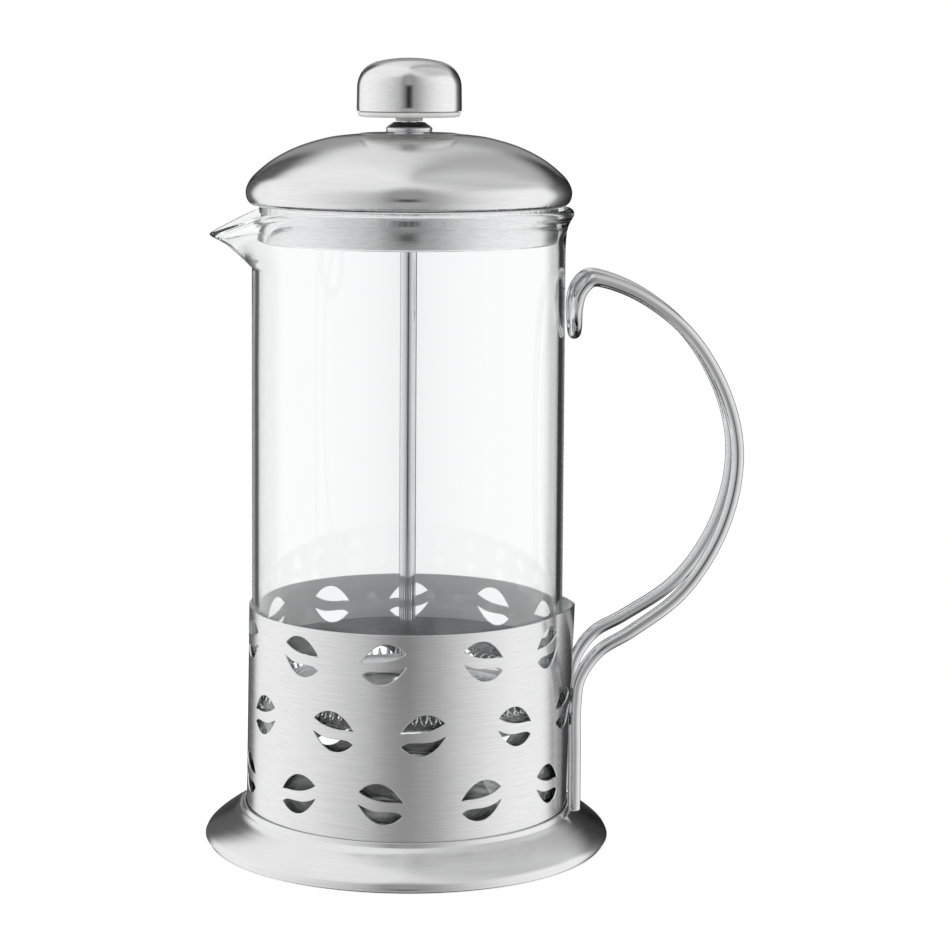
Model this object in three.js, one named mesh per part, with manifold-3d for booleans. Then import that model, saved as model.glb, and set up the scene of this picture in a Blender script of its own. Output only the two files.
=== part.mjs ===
// A French press: a glass beaker in a perforated steel sleeve on a spun foot, with a bent
// wire handle, a domed steel lid and a plunger with a sprung filter.
//
// Millimetres, +Z up. The origin is on the axis of the glass, on the surface that the press
// stands on. The handle is on +X and the spout is on -X. Around the axis, azimuths are in
// degrees, 0 on -Y and 90 on +X. The plunger is pressed down.

import * as THREE from 'three';
import { mergeVertices } from 'three/addons/utils/BufferGeometryUtils.js';
import Module from 'manifold-3d';

const wasm = await Module();
wasm.setup();

// ---------------------------------------------------------------- driving dimensions

const FINE_FACETS = 48; // sides of the glass and the sleeve, which fit closely
const FACETS = 36; // sides of the other large turned parts
const SMALL_FACETS = 24; // sides of the small turned parts
const GAP = 0.3; // left between two pieces that touch

const GLASS_R = 49;
const GLASS_WALL = 1.9;
const GLASS_FLOOR = 2.4;
const GLASS_BOTTOM = 12;
const RIM_TOP = 199.8;
const RIM_BEAD_R = 1.6;
const RIM_CENTRE_R = 50;

const SPOUT_AZIMUTH = 274;
const SPOUT_HALF_ANGLE = 36;
const SPOUT_TIP_ANGLE = 2.5; // rounds the tip
const SPOUT_DROP = 7.2;
const SPOUT_START = 181;

const FOOT_R = 63;
const FOOT_SHEET = 0.8;
const SEAT_TOP = 9.6;
const LIP_R = 51; // round the foot of the sleeve
const LIP_TOP = 12;
const HEM_INNER_R = 58;
const PLATE_TOP = 1.4;
const SEAT_INNER_R = 36;
const SEAT_OUTER_R = 45;

const SLEEVE_TOP = 74.8;
const SLEEVE_TOP_R = 49.8;
const SLEEVE_FOOT_R = 50.7;
const SLEEVE_SHEET = 0.5;
const PLEAT_RIDGE = 3.2;
const PLEAT_CORNER = 1.1;
const PLEAT_CORNER_ANGLE = 15;
const PLEAT_END_ANGLE = 22.5;

// The upper half of a bean, as [across, up] from its middle: its arch from right to left, and
// then its edge along the bar from left to right. The lower arch is the same, turned half round.
const BEAN_ARCH = [[6.85, 0.5], [4.4, 3.6], [0.9, 5.85], [-3.1, 5.8], [-6.7, 3.45]];
const BEAN_BAR_TOP = [[-3.6, 1.9], [1.4, 0.8]];
const BEAN_BAR_BOTTOM = [[2.6, -2.35], [-3.1, -1.95]];

// Every second bean of a row is the mirror image of the one before.
const BEAN_AZIMUTHS = [-75, -40, -8, 27.7, 61, 111.9, 143.5, 179.4, 211.4, 244.7];
const BEAN_ROWS = [
  { height: 65.8, turn: 0, firstIsMirrored: true },
  { height: 44.4, turn: 13.7, firstIsMirrored: true },
  { height: 23.4, turn: -0.8, firstIsMirrored: false },
];

const WIRE_R = 2;
const WIRE_SIDES = 8;
const WIRE_STEPS = 104;
const WIRE_LEG_X = 52.6;
const WIRE_FOOT = 11.5;
const HOOK_X = 51.9;
const HOOK_HALF_WIDTH = 12;
const HOOK_BOTTOM = 160.8;
const HOOK_ANGLES = [-165, -128, -90, -52, -15];

const ROD_R = 2.6;
const ROD_THREAD_R = 2;
const ROD_BOTTOM = 40.2;
const ROD_THREAD_TOP = 46.7;
const ROD_TOP = 238.2;

const SHOULDER_R = 5.6;
const SHOULDER_HEIGHT = 3.4;
const SPRING_CENTRE_R = 44.4;
const SPRING_COIL_R = 2.4;
const SPRING_HEIGHT = 48.2;
const STACK_BORE_R = ROD_THREAD_R + GAP;
const SPRING_PLATE_SHEET = 0.7;
const SPRING_PLATE_FLAT_R = 36;
const SPRING_PLATE_R = 41.3;
const SPRING_PLATE_RISE = 2.8;
const SCREEN_R = 46.4;
const SCREEN_TOP = 45.3;
const SCREEN_SHEET = 0.4;
const CROSS_PLATE_R = 43;
const CROSS_PLATE_SHEET = 0.8;
const HUB_R = 6.6;
const HUB_BOTTOM = 39.6;

const DOME_SHEET = 0.8;
const DOME_TOP = 222.9;
const DOME_HOLE_R = 5.4;
const DOME_STEP_R = 14.6;
const SKIRT_R = 46.6;
const SKIRT_LIP_R = 44.8;
const SKIRT_FLANGE_R = 48.6;
const SKIRT_SHEET = 0.6;
const SKIRT_BOTTOM = 189.2;
const SKIRT_FLANGE = 202.4;
const COLLAR_BORE_R = 4;
const COLLAR_SHANK_R = 5;
const COLLAR_BOTTOM = 216.4;
const COLLAR_TOP = 226.3;
const WASHER_R = 10;
const WASHER_TOP = 221.7;
const WASHER_SHEET = 0.8;
const NUT_CORNER_R = 8.4;
const NUT_HEIGHT = 3.4;

const KNOB_R = 16.3;
const KNOB_SHEET = 1;
const KNOB_TOP = 246.2;
const KNOB_CROWN_R = 42.5; // the crown is domed to this radius
const KNOB_SHOULDER_R = 7.3;
const KNOB_SHOULDER_HEIGHT = 7.9;
const KNOB_SHOULDER_BASE = 237;
const KNOB_EDGE = 229.7;
const KNOB_BORE_R = 4.7;
const KNOB_BORE_TOP = 238.9;
const KNOB_THREAD_BOTTOM = 229.4;

// ---------------------------------------------------------------- materials

const brushedSteel = new THREE.MeshStandardMaterial({ color: 0xc8c8ca, roughness: 0.34, metalness: 1 });
const polishedSteel = new THREE.MeshStandardMaterial({ color: 0xd2d2d4, roughness: 0.12, metalness: 1 });
const chrome = new THREE.MeshStandardMaterial({ color: 0xe2e3e6, roughness: 0.05, metalness: 1 });
const glass = new THREE.MeshStandardMaterial({
  color: 0xe9f2ef, roughness: 0.03, metalness: 0, transparent: true, opacity: 0.3,
});
const whitePlastic = new THREE.MeshStandardMaterial({ color: 0xeff0ec, roughness: 0.35, metalness: 0 });
const softSeal = new THREE.MeshStandardMaterial({ color: 0xdcdcd8, roughness: 0.7, metalness: 0 });

// ---------------------------------------------------------------- helpers

function radians(degrees) {
  return degrees * Math.PI / 180;
}

function mix(from, to, part) {
  return from + (to - from) * part;
}

// Merges shared vertices and turns every face outwards.
function closedSolid(geometry) {
  const bare = geometry.index ? geometry.toNonIndexed() : geometry.clone();
  bare.deleteAttribute('normal');
  bare.deleteAttribute('uv');
  const merged = mergeVertices(bare, 1e-4);
  const place = merged.attributes.position;
  const index = merged.index.array;
  const [a, b, c] = [new THREE.Vector3(), new THREE.Vector3(), new THREE.Vector3()];
  const kept = [];
  let volume = 0;
  for (let i = 0; i < index.length; i += 3) {
    const [ia, ib, ic] = [index[i], index[i + 1], index[i + 2]];
    if (ia === ib || ib === ic || ic === ia) continue;
    kept.push(ia, ib, ic);
    a.fromBufferAttribute(place, ia);
    b.fromBufferAttribute(place, ib);
    c.fromBufferAttribute(place, ic);
    volume += a.dot(b.cross(c));
  }
  merged.setIndex(volume < 0 ? kept.reverse() : kept);
  return merged;
}

// A turned solid from [radius, height] points. The outline starts and ends on the axis, or is
// closed here.
function turned(outline, facets = FACETS) {
  const points = outline.map(([r, z]) => new THREE.Vector2(r, z));
  const onAxis = outline[0][0] === 0 && outline.at(-1)[0] === 0;
  if (!onAxis) points.push(points[0].clone());
  const geometry = new THREE.LatheGeometry(points, facets);
  geometry.rotateX(Math.PI / 2);
  return closedSolid(geometry);
}

// Points on an elliptical arc in an outline, with angles in degrees from the radius direction.
function arc(centreR, centreZ, radiusR, radiusZ, from, to, steps) {
  const points = [];
  for (let i = 0; i <= steps; i++) {
    const angle = radians(mix(from, to, i / steps));
    points.push([centreR + radiusR * Math.cos(angle), centreZ + radiusZ * Math.sin(angle)]);
  }
  return points;
}

// The same line moved sideways, to the right-hand side of its direction of travel.
function beside(line, distance) {
  return line.map(([r, z], i) => {
    const [beforeR, beforeZ] = line[Math.max(i - 1, 0)];
    const [afterR, afterZ] = line[Math.min(i + 1, line.length - 1)];
    const length = Math.hypot(afterR - beforeR, afterZ - beforeZ);
    return [
      r + distance * (afterZ - beforeZ) / length,
      z - distance * (afterR - beforeR) / length,
    ];
  });
}

// Moves every vertex by a rule on its radius, azimuth in degrees and height.
function reshaped(geometry, rule) {
  const place = geometry.attributes.position;
  for (let i = 0; i < place.count; i++) {
    const x = place.getX(i);
    const y = place.getY(i);
    const radius = Math.hypot(x, y);
    if (radius === 0) continue;
    const azimuth = THREE.MathUtils.radToDeg(Math.atan2(x, -y));
    const [newRadius, newHeight] = rule(radius, azimuth, place.getZ(i));
    place.setXYZ(i, x * newRadius / radius, y * newRadius / radius, newHeight);
  }
  return geometry;
}

// The smallest angle between two azimuths, in degrees.
function angleBetween(one, other) {
  const turn = Math.abs(one - other) % 360;
  return Math.min(turn, 360 - turn);
}

function ring(innerR, outerR, bottom, top, facets = SMALL_FACETS) {
  return turned([[innerR, bottom], [outerR, bottom], [outerR, top], [innerR, top]], facets);
}

function toManifold(geometry) {
  const solid = closedSolid(geometry);
  return new wasm.Manifold(new wasm.Mesh({
    numProp: 3,
    vertProperties: new Float32Array(solid.attributes.position.array),
    triVerts: new Uint32Array(solid.index.array),
  }));
}

function fromManifold(solid) {
  const mesh = solid.getMesh();
  const geometry = new THREE.BufferGeometry();
  geometry.setAttribute('position', new THREE.BufferAttribute(new Float32Array(mesh.vertProperties), 3));
  geometry.setIndex(new THREE.BufferAttribute(new Uint32Array(mesh.triVerts), 1));
  return geometry;
}

function cutAway(geometry, cutters) {
  const solid = cutters.reduce((body, cutter) => body.subtract(toManifold(cutter)), toManifold(geometry));
  return fromManifold(solid);
}

// Upright round cutters, evenly spaced on a circle.
function holeCutters(count, circleR, holeR, height, sides) {
  const cutterLength = 8;
  const cutters = [];
  for (let i = 0; i < count; i++) {
    const angle = (i / count) * 2 * Math.PI;
    const cutter = new THREE.CylinderGeometry(holeR, holeR, cutterLength, sides);
    cutter.rotateX(Math.PI / 2);
    cutter.translate(circleR * Math.cos(angle), circleR * Math.sin(angle), height);
    cutters.push(cutter);
  }
  return cutters;
}

function part(name, geometry, material) {
  const mesh = new THREE.Mesh(geometry, material);
  mesh.name = name;
  return mesh;
}

// ---------------------------------------------------------------- foot and sleeve

// One spun sheet: the seat, a low lip, the flared skirt and a flat hem turned in underneath.
function baseDish() {
  const outside = [
    [LIP_R, SEAT_TOP],
    [LIP_R, LIP_TOP],
    [LIP_R + 0.5, LIP_TOP - 0.2],
    [LIP_R + 1.2, 10.4],
    [53.4, 9.1],
    [58.4, 5.9],
    [61.4, 3.6],
    [FOOT_R, 1.6],
    [FOOT_R - 0.2, 0.5],
    [FOOT_R - 0.9, 0],
  ];
  const inside = [
    [HEM_INNER_R, 0],
    [HEM_INNER_R, FOOT_SHEET],
    [FOOT_R - 1.4, FOOT_SHEET],
    [60.8, 2.9],
    [57.9, 5.2],
    [53, 8.4],
    [LIP_R - 0.2, SEAT_TOP - FOOT_SHEET],
  ];
  return turned([[0, SEAT_TOP], ...outside, ...inside, [0, SEAT_TOP - FOOT_SHEET]]);
}

function bottomPlate() {
  const edge = HEM_INNER_R - GAP;
  return turned([[0, 0], [edge, 0], [edge, PLATE_TOP - 0.4], [edge - 1, PLATE_TOP], [0, PLATE_TOP]]);
}

function seatRing() {
  return ring(SEAT_INNER_R, SEAT_OUTER_R, SEAT_TOP + GAP, GLASS_BOTTOM - GAP, FACETS);
}

// How far the pleat stands out of the sleeve's top edge at an angle from its ridge.
function pleatRise(angle) {
  if (angle >= PLEAT_END_ANGLE) return 0;
  if (angle >= PLEAT_CORNER_ANGLE) {
    const part = (PLEAT_END_ANGLE - angle) / (PLEAT_END_ANGLE - PLEAT_CORNER_ANGLE);
    return PLEAT_CORNER * part;
  }
  return mix(PLEAT_RIDGE, PLEAT_CORNER, angle / PLEAT_CORNER_ANGLE);
}

// The halves of a coffee bean, above and below the bar that crosses it.
function beanHalves(mirrored) {
  const across = mirrored ? -1 : 1;
  const lowerArch = BEAN_ARCH.map(([x, y]) => [-x, -y]);
  return [
    [...BEAN_ARCH, ...BEAN_BAR_TOP],
    [...lowerArch, ...BEAN_BAR_BOTTOM],
  ].map((outline) => new THREE.Shape(outline.map(([x, y]) => new THREE.Vector2(across * x, y))));
}

function beanCutters() {
  const cutDepth = 12;
  const cutters = [];
  for (const { height, turn, firstIsMirrored } of BEAN_ROWS) {
    BEAN_AZIMUTHS.forEach((azimuth, i) => {
      const mirrored = (i % 2 === 0) === firstIsMirrored;
      for (const half of beanHalves(mirrored)) {
        const cutter = new THREE.ExtrudeGeometry(half, { depth: cutDepth, bevelEnabled: false });
        cutter.rotateX(Math.PI / 2);
        cutter.translate(0, -GLASS_R + cutDepth / 2, height);
        cutter.rotateZ(radians(azimuth + turn));
        cutters.push(cutter);
      }
    });
  }
  return cutters;
}

function sleeve() {
  const bottom = SEAT_TOP + GAP;
  const band = ring(1 - SLEEVE_SHEET / SLEEVE_FOOT_R, 1, bottom, SLEEVE_TOP, FINE_FACETS);
  reshaped(band, (radius, azimuth, z) => {
    const rise = (z - bottom) / (SLEEVE_TOP - bottom);
    const pleat = pleatRise(angleBetween(azimuth, 90));
    const outerR = mix(SLEEVE_FOOT_R, SLEEVE_TOP_R + pleat, rise);
    return [radius < 1 - 1e-3 ? outerR - SLEEVE_SHEET : outerR, z];
  });
  return cutAway(band, beanCutters());
}

// ---------------------------------------------------------------- handle

// One leg of the handle, from the foot to the hook at the top, on the +Y side:
// [distance from the axis, half the distance between the legs, height].
const WIRE_LEG = [
  [WIRE_LEG_X, 12, WIRE_FOOT],
  [WIRE_LEG_X, 12, 30],
  [WIRE_LEG_X, 12.4, 45],
  [53.9, 13.2, 54],
  [59.7, 13.8, 62.4],
  [69.5, 13, 68.4],
  [85.2, 10.6, 79.9],
  [96.3, 8.8, 96],
  [102, 8, 114],
  [102.1, 8, 130],
  [96.6, 8.2, 146.8],
  [86.5, 9, 161.9],
  [73, 10.2, 172.6],
  [61.5, 11.4, 177.5],
  [56.6, HOOK_HALF_WIDTH, 178],
  [53.2, HOOK_HALF_WIDTH, 174.6],
];

function handleWire() {
  const nearLeg = WIRE_LEG.map(([x, y, z]) => new THREE.Vector3(x, -y, z));
  const farLeg = WIRE_LEG.map(([x, y, z]) => new THREE.Vector3(x, y, z)).reverse();
  const hook = [];
  const hookCentre = HOOK_BOTTOM + HOOK_HALF_WIDTH;
  for (const angle of HOOK_ANGLES) {
    hook.push(new THREE.Vector3(
      HOOK_X,
      HOOK_HALF_WIDTH * Math.cos(radians(angle)),
      hookCentre + HOOK_HALF_WIDTH * Math.sin(radians(angle)),
    ));
  }
  const path = new THREE.CatmullRomCurve3([...nearLeg, ...hook, ...farLeg], false, 'centripetal');
  const section = new THREE.Shape();
  for (let i = 0; i < WIRE_SIDES; i++) {
    const angle = (i / WIRE_SIDES) * 2 * Math.PI;
    const corner = [WIRE_R * Math.cos(angle), WIRE_R * Math.sin(angle)];
    if (i === 0) section.moveTo(...corner);
    else section.lineTo(...corner);
  }
  section.closePath();
  return closedSolid(new THREE.ExtrudeGeometry(section, { steps: WIRE_STEPS, extrudePath: path }));
}

// ---------------------------------------------------------------- glass

// How far the spout moves a point of the rim out and down. Each flank leaves the round rim
// along a straight line, and the two lines meet in a slightly rounded tip.
function spoutPull(azimuth) {
  const fromTip = Math.hypot(angleBetween(azimuth, SPOUT_AZIMUTH), SPOUT_TIP_ANGLE);
  const turn = radians(Math.max(0, SPOUT_HALF_ANGLE - fromTip));
  const along = Math.tan(turn) / Math.tan(radians(SPOUT_HALF_ANGLE - SPOUT_TIP_ANGLE));
  const rimR = RIM_CENTRE_R + RIM_BEAD_R;
  return { reach: rimR / Math.cos(turn) - rimR, drop: SPOUT_DROP * along ** 1.3 };
}

function glassBeaker() {
  const outerCorner = 4;
  const innerCorner = 3;
  const innerR = GLASS_R - GLASS_WALL;
  const beadZ = RIM_TOP - RIM_BEAD_R;
  const floor = GLASS_BOTTOM + GLASS_FLOOR;
  const outline = [
    [0, GLASS_BOTTOM],
    ...arc(GLASS_R - outerCorner, GLASS_BOTTOM + outerCorner, outerCorner, outerCorner, -90, 0, 2),
    [GLASS_R, SPOUT_START],
    [GLASS_R + 0.1, 189],
    [GLASS_R + 0.7, 194],
    ...arc(RIM_CENTRE_R, beadZ, RIM_BEAD_R, RIM_BEAD_R, -20, 200, 4),
    [innerR + 0.5, 192],
    [innerR, 187],
    [innerR, SPOUT_START],
    ...arc(innerR - innerCorner, floor + innerCorner, innerCorner, innerCorner, 0, -90, 2),
    [0, floor],
  ];
  const rise = RIM_TOP - RIM_BEAD_R - SPOUT_START;
  return reshaped(turned(outline, FINE_FACETS), (radius, azimuth, z) => {
    const { reach, drop } = spoutPull(azimuth);
    const lift = Math.max(0, (z - SPOUT_START) / rise);
    return [radius + reach * lift, z - drop * lift];
  });
}

// ---------------------------------------------------------------- lid

function lidDome() {
  const outside = [
    [DOME_HOLE_R, DOME_TOP], [DOME_STEP_R, DOME_TOP], [DOME_STEP_R + 0.8, DOME_TOP - 0.35],
    [25.1, 221.5], [34.5, 218.7], [41.9, 214.9], [46.7, 211.2],
    [49.5, 208.3], [50.8, 204.9], [50.2, 202], [48.7, 200.6], [47.3, 200.4],
  ];
  const inside = beside(outside, DOME_SHEET).reverse();
  return turned([...outside, ...inside]);
}

function lidSkirt() {
  const inner = SKIRT_R - SKIRT_SHEET;
  return turned([
    [SKIRT_LIP_R, SKIRT_BOTTOM],
    [SKIRT_R - 0.6, SKIRT_BOTTOM],
    [SKIRT_R, SKIRT_BOTTOM + 0.6],
    [SKIRT_R, SKIRT_FLANGE],
    [SKIRT_FLANGE_R, SKIRT_FLANGE],
    [SKIRT_FLANGE_R, SKIRT_FLANGE + SKIRT_SHEET],
    [inner, SKIRT_FLANGE + SKIRT_SHEET],
    [inner, SKIRT_BOTTOM + SKIRT_SHEET],
    [SKIRT_LIP_R, SKIRT_BOTTOM + SKIRT_SHEET],
  ]);
}

function lidCollar() {
  return turned([
    [COLLAR_BORE_R, COLLAR_BOTTOM],
    [COLLAR_SHANK_R, COLLAR_BOTTOM],
    [COLLAR_SHANK_R, DOME_TOP + GAP],
    [7.2, DOME_TOP + GAP],
    [7.3, 223.5],
    [6.8, 223.7],
    [7.2, 224.2],
    [6.4, 225.1],
    [5.6, 225.7],
    [4.8, COLLAR_TOP],
    [COLLAR_BORE_R, COLLAR_TOP],
  ], SMALL_FACETS);
}

function rodBush() {
  const runningGap = 0.08;
  return ring(ROD_R + runningGap, COLLAR_BORE_R - GAP, COLLAR_BOTTOM - 0.4, COLLAR_TOP - 0.4);
}

function collarWasher() {
  return ring(COLLAR_SHANK_R + GAP, WASHER_R, WASHER_TOP - WASHER_SHEET, WASHER_TOP);
}

function collarNut() {
  const hexagon = new THREE.Shape();
  for (let i = 0; i < 6; i++) {
    const angle = radians(60 * i);
    const corner = [NUT_CORNER_R * Math.cos(angle), NUT_CORNER_R * Math.sin(angle)];
    if (i === 0) hexagon.moveTo(...corner);
    else hexagon.lineTo(...corner);
  }
  hexagon.closePath();
  hexagon.holes.push(new THREE.Path().absarc(0, 0, COLLAR_SHANK_R + GAP, 0, 2 * Math.PI));
  const nut = new THREE.ExtrudeGeometry(hexagon, {
    depth: NUT_HEIGHT, curveSegments: 18, bevelEnabled: false,
  });
  nut.translate(0, 0, WASHER_TOP - WASHER_SHEET - GAP - NUT_HEIGHT);
  return closedSolid(nut);
}

// ---------------------------------------------------------------- plunger

function plungerRod() {
  return turned([
    [0, ROD_BOTTOM],
    [ROD_THREAD_R - 0.3, ROD_BOTTOM],
    [ROD_THREAD_R, ROD_BOTTOM + 0.4],
    [ROD_THREAD_R, ROD_THREAD_TOP],
    [ROD_R, ROD_THREAD_TOP],
    [ROD_R, ROD_TOP - 0.5],
    [ROD_R - 0.5, ROD_TOP],
    [0, ROD_TOP],
  ], SMALL_FACETS);
}

function rodShoulder() {
  const bottom = ROD_THREAD_TOP + GAP;
  const top = bottom + SHOULDER_HEIGHT;
  return turned([
    [ROD_R + GAP, bottom],
    [SHOULDER_R, bottom],
    [SHOULDER_R, top - 1],
    [SHOULDER_R - 1, top],
    [ROD_R + GAP, top],
  ], SMALL_FACETS);
}

// A shallow dish whose raised rim carries the coil spring.
function springPlate() {
  const bottom = SCREEN_TOP + GAP;
  const rimBottom = bottom + SPRING_PLATE_RISE;
  const dish = turned([
    [STACK_BORE_R, bottom],
    [SPRING_PLATE_FLAT_R, bottom],
    [SPRING_PLATE_R, rimBottom],
    [SPRING_PLATE_R, rimBottom + 0.8],
    [SPRING_PLATE_R - 0.6, rimBottom + 0.8],
    [SPRING_PLATE_FLAT_R - 0.3, bottom + SPRING_PLATE_SHEET],
    [STACK_BORE_R, bottom + SPRING_PLATE_SHEET],
  ]);
  return cutAway(dish, holeCutters(10, 24, 6, bottom, 12));
}

// The outer surface of the ring of coiled wire.
function filterSpring() {
  return turned(arc(SPRING_CENTRE_R, SPRING_HEIGHT, SPRING_COIL_R, SPRING_COIL_R, 0, 315, 7));
}

function meshScreen() {
  return ring(STACK_BORE_R, SCREEN_R, SCREEN_TOP - SCREEN_SHEET, SCREEN_TOP, FACETS);
}

function crossPlate() {
  const top = SCREEN_TOP - SCREEN_SHEET - GAP;
  const bottom = top - CROSS_PLATE_SHEET;
  const disc = turned([
    [STACK_BORE_R, bottom], [CROSS_PLATE_R - 0.3, bottom], [CROSS_PLATE_R, top], [STACK_BORE_R, top],
  ]);
  return cutAway(disc, holeCutters(8, 27, 9, top, 16));
}

function filterHub() {
  const top = SCREEN_TOP - SCREEN_SHEET - CROSS_PLATE_SHEET - 2 * GAP;
  return turned([
    [STACK_BORE_R, HUB_BOTTOM],
    [HUB_R - 1, HUB_BOTTOM],
    [HUB_R, HUB_BOTTOM + 0.8],
    [HUB_R, top - 0.3],
    [HUB_R - 0.6, top],
    [STACK_BORE_R, top],
  ], SMALL_FACETS);
}

// ---------------------------------------------------------------- knob

function knobShell() {
  const crown = (r) => KNOB_TOP - r ** 2 / (2 * KNOB_CROWN_R);
  const shoulder = (offset, from, to, steps) => arc(
    KNOB_R - 0.1 - KNOB_SHOULDER_R, KNOB_SHOULDER_BASE,
    KNOB_SHOULDER_R - offset, KNOB_SHOULDER_HEIGHT - offset, from, to, steps,
  );
  const outside = [
    ...[0, 6, 10.5].map((r) => [r, crown(r)]),
    ...shoulder(0, 70, 0, 5),
    [KNOB_R + 0.05, KNOB_EDGE + 0.3],
    [KNOB_R - 0.3, KNOB_EDGE],
  ];
  const inside = [
    [KNOB_R - KNOB_SHEET, KNOB_EDGE],
    ...shoulder(KNOB_SHEET, 0, 70, 3),
    ...[8, 0].map((r) => [r, crown(r) - KNOB_SHEET]),
  ];
  return turned([...outside, ...inside], SMALL_FACETS);
}

function knobInsert() {
  const bodyR = KNOB_R - KNOB_SHEET - GAP;
  return turned([
    [0, 242.6],
    [10.4, 242.6],
    [13.6, 240],
    [bodyR, 236.4],
    [bodyR, KNOB_EDGE - GAP],
    [15.9, KNOB_EDGE - GAP],
    [16, 228.8],
    [15.6, 228.2],
    [14.8, 227.9],
    [4.6, 227.9],
    [4.2, 227.6],
    [4.2, COLLAR_TOP + GAP],
    [ROD_R + GAP, COLLAR_TOP + GAP],
    [ROD_R + GAP, KNOB_THREAD_BOTTOM],
    [KNOB_BORE_R, KNOB_THREAD_BOTTOM],
    [KNOB_BORE_R, KNOB_BORE_TOP],
    [0, KNOB_BORE_TOP],
  ], SMALL_FACETS);
}

function knobThreadInsert() {
  return ring(ROD_R + GAP, KNOB_BORE_R - GAP, KNOB_THREAD_BOTTOM + 0.4, KNOB_BORE_TOP - 0.4);
}

// ---------------------------------------------------------------- assembly

const frenchPress = new THREE.Group();

frenchPress.add(
  part('base_dish', baseDish(), brushedSteel),
  part('bottom_plate', bottomPlate(), brushedSteel),
  part('seat_ring', seatRing(), softSeal),
  part('sleeve', sleeve(), brushedSteel),
  part('handle_wire', handleWire(), polishedSteel),

  part('glass_beaker', glassBeaker(), glass),

  part('lid_dome', lidDome(), brushedSteel),
  part('lid_skirt', lidSkirt(), brushedSteel),
  part('lid_collar', lidCollar(), chrome),
  part('rod_bush', rodBush(), whitePlastic),
  part('collar_washer', collarWasher(), polishedSteel),
  part('collar_nut', collarNut(), polishedSteel),

  part('plunger_rod', plungerRod(), polishedSteel),
  part('rod_shoulder', rodShoulder(), polishedSteel),
  part('spring_plate', springPlate(), polishedSteel),
  part('filter_spring', filterSpring(), polishedSteel),
  part('mesh_screen', meshScreen(), polishedSteel),
  part('cross_plate', crossPlate(), polishedSteel),
  part('filter_hub', filterHub(), polishedSteel),

  part('knob_shell', knobShell(), brushedSteel),
  part('knob_insert', knobInsert(), whitePlastic),
  part('knob_thread_insert', knobThreadInsert(), polishedSteel),
);

export default frenchPress;
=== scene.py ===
"""The visible pieces of a French press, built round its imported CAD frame.

Outlines are in millimetres in the frame's own axes: +Z up, the handle on +X, the spout on -X.
Azimuths are in degrees round the axis, 0 on -Y and 90 on +X, as in the CAD model.
"""

import math

import bpy
from mathutils import Matrix, Vector
from mathutils.geometry import delaunay_2d_cdt


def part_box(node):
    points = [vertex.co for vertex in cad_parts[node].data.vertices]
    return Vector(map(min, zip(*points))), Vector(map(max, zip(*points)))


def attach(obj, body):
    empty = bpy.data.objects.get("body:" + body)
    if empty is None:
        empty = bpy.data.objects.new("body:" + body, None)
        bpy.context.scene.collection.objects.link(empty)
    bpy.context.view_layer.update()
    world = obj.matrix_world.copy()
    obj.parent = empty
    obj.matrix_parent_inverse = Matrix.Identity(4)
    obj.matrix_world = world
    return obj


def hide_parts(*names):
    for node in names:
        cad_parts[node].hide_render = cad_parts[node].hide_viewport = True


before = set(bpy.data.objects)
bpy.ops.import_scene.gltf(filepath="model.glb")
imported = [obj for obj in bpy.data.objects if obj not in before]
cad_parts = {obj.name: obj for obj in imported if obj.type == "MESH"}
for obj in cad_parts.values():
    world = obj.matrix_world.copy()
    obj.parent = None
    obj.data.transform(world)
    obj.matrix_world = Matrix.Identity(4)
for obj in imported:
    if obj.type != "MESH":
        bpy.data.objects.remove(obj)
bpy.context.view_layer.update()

MM = 0.001
# A radius in millimetres below which a point is on the axis.
ON_AXIS = 1e-6


# ------------------------------------------------------------------ sizes from the frame

class Span:
    """A turned CAD node's outer radius, bottom and top, in millimetres."""

    def __init__(self, node):
        low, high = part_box(node)
        self.radius = (high.y - low.y) / 2 / MM
        self.bottom = low.z / MM
        self.top = high.z / MM


FOOT = Span("base_dish")
PLATE = Span("bottom_plate")
SEAT = Span("seat_ring")
SLEEVE = Span("sleeve")
GLASS = Span("glass_beaker")
DOME = Span("lid_dome")
SKIRT = Span("lid_skirt")
COLLAR = Span("lid_collar")
BUSH = Span("rod_bush")
WASHER = Span("collar_washer")
NUT = Span("collar_nut")
ROD = Span("plunger_rod")
SHOULDER = Span("rod_shoulder")
SPRING_PLATE = Span("spring_plate")
SPRING = Span("filter_spring")
SCREEN = Span("mesh_screen")
CROSS = Span("cross_plate")
HUB = Span("filter_hub")
SHELL = Span("knob_shell")
INSERT = Span("knob_insert")
THREAD_INSERT = Span("knob_thread_insert")

FOOT_SHEET = 0.8
LIP_R = 51
SEAT_TOP = SLEEVE.bottom - 0.3
GLASS_WALL = 1.9
DOME_SHEET = 0.8
RIM_BEAD = 1.6
GLASS_RIM_R = GLASS.radius
GLASS_R = GLASS_RIM_R - RIM_BEAD - 1
SPOUT_AZIMUTH = 274
SPOUT_HALF_ANGLE = 36
SPOUT_TIP_ANGLE = 2.5
SPOUT_DROP = 7.2
SPOUT_START = GLASS.top - 18.8

SLEEVE_SHEET = 0.5
SLEEVE_TOP_R = SLEEVE.radius - 0.9
PLEAT_RIDGE = 3.2
PLEAT_CORNER = 1.1
PLEAT_CORNER_ANGLE = 15
PLEAT_END_ANGLE = 22.5

# The upper half of a bean, as (across, up) from its middle: its arch from right to left, and its
# edge along the bar from left to right. The lower arch is the same, turned half round.
BEAN_ARCH = [(6.9, 0.5), (5.4, 2.5), (3.4, 4.5), (0.9, 5.85), (-1.8, 6.05), (-4.4, 5.2), (-6.7, 3.45)]
BEAN_BAR_TOP = [(-5.4, 2.7), (-3.9, 2.0), (-2, 1.4), (0.3, 0.95), (3, 0.75), (5, 0.75)]
BEAN_BAR_BOTTOM = [(5.1, -2.6), (3.2, -2.35), (0, -2.35), (-2.6, -2.1), (-4.1, -1.7), (-5.6, -1.1)]

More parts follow.
